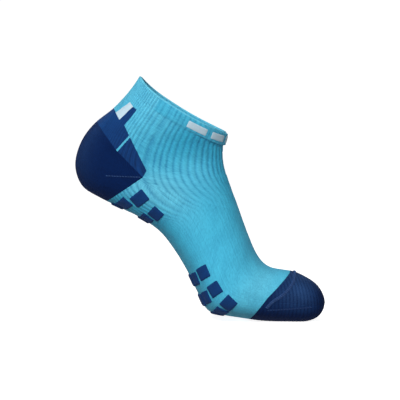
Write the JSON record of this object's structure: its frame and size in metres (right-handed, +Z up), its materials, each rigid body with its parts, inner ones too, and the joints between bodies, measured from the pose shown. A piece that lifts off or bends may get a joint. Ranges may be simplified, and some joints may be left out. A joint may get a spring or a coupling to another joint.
{
  "type": "low-cut sports sock",
  "caption": "Low-cut ribbed sports sock shaped over a raised left foot, with navy heel, toe and high splice, a turned collar band and raised cushion blocks under the foot.",
  "frame": {"origin": "on the ground under the ball of the foot, midway across it", "axes": "+X towards the toes, -Y the big-toe side, +Z up"},
  "size_m": [0.1998, 0.0941, 0.1972],
  "materials": {
    "rib_knit": "bright sky-blue ribbed knit",
    "foot_knit": "sky-blue fine plain knit",
    "splice_knit": "navy ribbed knit",
    "heel_toe_knit": "dark navy terry-backed knit",
    "cushion_blocks": "dark navy dense knit",
    "white_knit": "pale bluish-white knit",
    "seam_yarn": "linked seam in slate-blue yarn",
    "elastic_yarn": "covered elastic yarn"
  },
  "bodies": {
    "forefoot": {"forefoot_pads_1": "cushion_blocks", "forefoot_pads_2": "cushion_blocks", "forefoot_pads_3": "cushion_blocks", "forefoot_sole": "foot_knit", "forefoot_upper": "foot_knit", "toe_gore_inner": "seam_yarn", "toe_gore_outer": "seam_yarn", "toe_pocket_sole": "heel_toe_knit", "toe_pocket_upper": "heel_toe_knit", "toe_seam": "seam_yarn"},
    "foot": {"ankle_panel": "foot_knit", "arch_pads_1": "cushion_blocks", "arch_pads_2": "cushion_blocks", "arch_sole": "foot_knit", "heel_gore_inner": "seam_yarn", "heel_gore_outer": "seam_yarn", "heel_pocket_lower": "heel_toe_knit", "heel_pocket_upper": "heel_toe_knit", "instep_panel": "foot_knit"},
    "cuff": {"collar_edge": "rib_knit", "heel_tab": "rib_knit", "high_splice": "splice_knit", "leg_rib_panel": "rib_knit", "splice_line_inner": "rib_knit", "splice_line_outer": "rib_knit", "splice_wing_inner": "splice_knit", "splice_wing_outer": "splice_knit", "tab_bar_inner": "splice_knit", "tab_bar_outer": "splice_knit", "tab_block_inner": "white_knit", "tab_block_outer": "white_knit", "welt_bar_1": "white_knit", "welt_bar_2": "white_knit", "welt_bar_3": "white_knit", "welt_bar_4": "white_knit", "welt_bar_5": "white_knit", "welt_elastic_1": "elastic_yarn", "welt_elastic_2": "elastic_yarn", "welt_elastic_3": "elastic_yarn", "welt_outer": "rib_knit"}
  },
  "joints": [
    {"name": "ball_flex", "type": "hinge", "parent": "forefoot", "child": "foot", "pos_m": [-0.006, 0, 0.024], "axis": [0, -1, 0], "range_deg": [-15, 44]},
    {"name": "ankle_flex", "type": "hinge", "parent": "foot", "child": "cuff", "pos_m": [-0.04, 0, 0.116], "axis": [0, 1, 0], "range_deg": [0, 15]}
  ]
}
